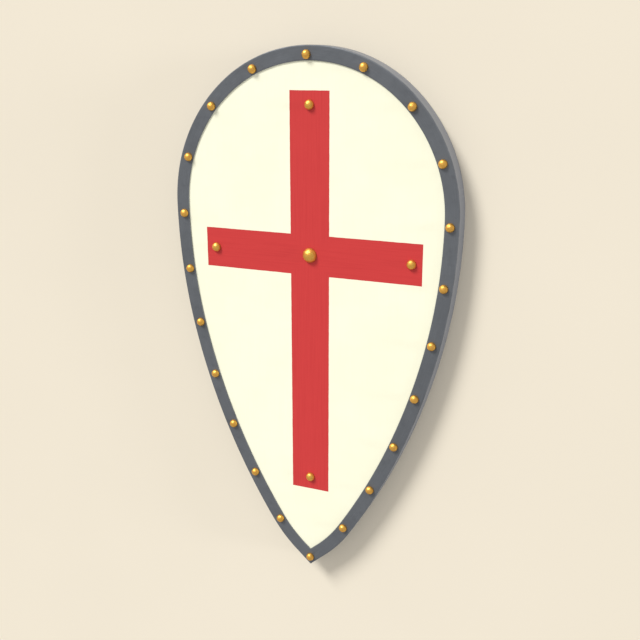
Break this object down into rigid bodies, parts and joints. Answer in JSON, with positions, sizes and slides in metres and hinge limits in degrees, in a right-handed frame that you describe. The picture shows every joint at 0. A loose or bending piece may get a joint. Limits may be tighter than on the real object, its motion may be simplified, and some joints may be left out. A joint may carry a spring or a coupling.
{
  "type": "kite shield",
  "caption": "Kite shield with a flat board painted cream with a red cross, a riveted iron rim and two leather straps behind, carried on the forearm to guard the body.",
  "frame": {"origin": "on the ground under the middle of the shield, which lies face up on the back edge of its rim", "axes": "+X to the right across the painted face, +Y along the shield to its round top, +Z out of the painted face"},
  "size_m": [0.6046, 1.1022, 0.05],
  "materials": {
    "painted_board": "planks, the front painted smooth cream with a plain red cross, the back bare oiled wood",
    "rim_iron": "dark grey forged iron, satin",
    "rivet_brass": "satin brass, lightly hammered",
    "strap_leather": "brown vegetable tanned leather",
    "nail_iron": "dull dark iron"
  },
  "bodies": {
    "root": {"board": "painted_board", "rim": "rim_iron", "rim_rivet_01": "rivet_brass", "rim_rivet_02": "rivet_brass", "rim_rivet_03": "rivet_brass", "rim_rivet_04": "rivet_brass", "rim_rivet_05": "rivet_brass", "rim_rivet_06": "rivet_brass", "rim_rivet_07": "rivet_brass", "rim_rivet_08": "rivet_brass", "rim_rivet_09": "rivet_brass", "rim_rivet_10": "rivet_brass", "rim_rivet_11": "rivet_brass", "rim_rivet_12": "rivet_brass", "rim_rivet_13": "rivet_brass", "rim_rivet_14": "rivet_brass", "rim_rivet_15": "rivet_brass", "rim_rivet_16": "rivet_brass", "rim_rivet_17": "rivet_brass", "rim_rivet_18": "rivet_brass", "rim_rivet_19": "rivet_brass", "rim_rivet_20": "rivet_brass", "rim_rivet_21": "rivet_brass", "rim_rivet_22": "rivet_brass", "cross_rivet_top": "rivet_brass", "cross_rivet_bottom": "rivet_brass", "cross_rivet_left": "rivet_brass", "cross_rivet_right": "rivet_brass", "cross_rivet_centre": "rivet_brass", "arm_strap": "strap_leather", "hand_strap": "strap_leather", "arm_strap_nail_1": "nail_iron", "arm_strap_nail_2": "nail_iron", "arm_strap_nail_3": "nail_iron", "arm_strap_nail_4": "nail_iron", "hand_strap_nail_1": "nail_iron", "hand_strap_nail_2": "nail_iron", "hand_strap_nail_3": "nail_iron", "hand_strap_nail_4": "nail_iron"}
  },
  "joints": []
}
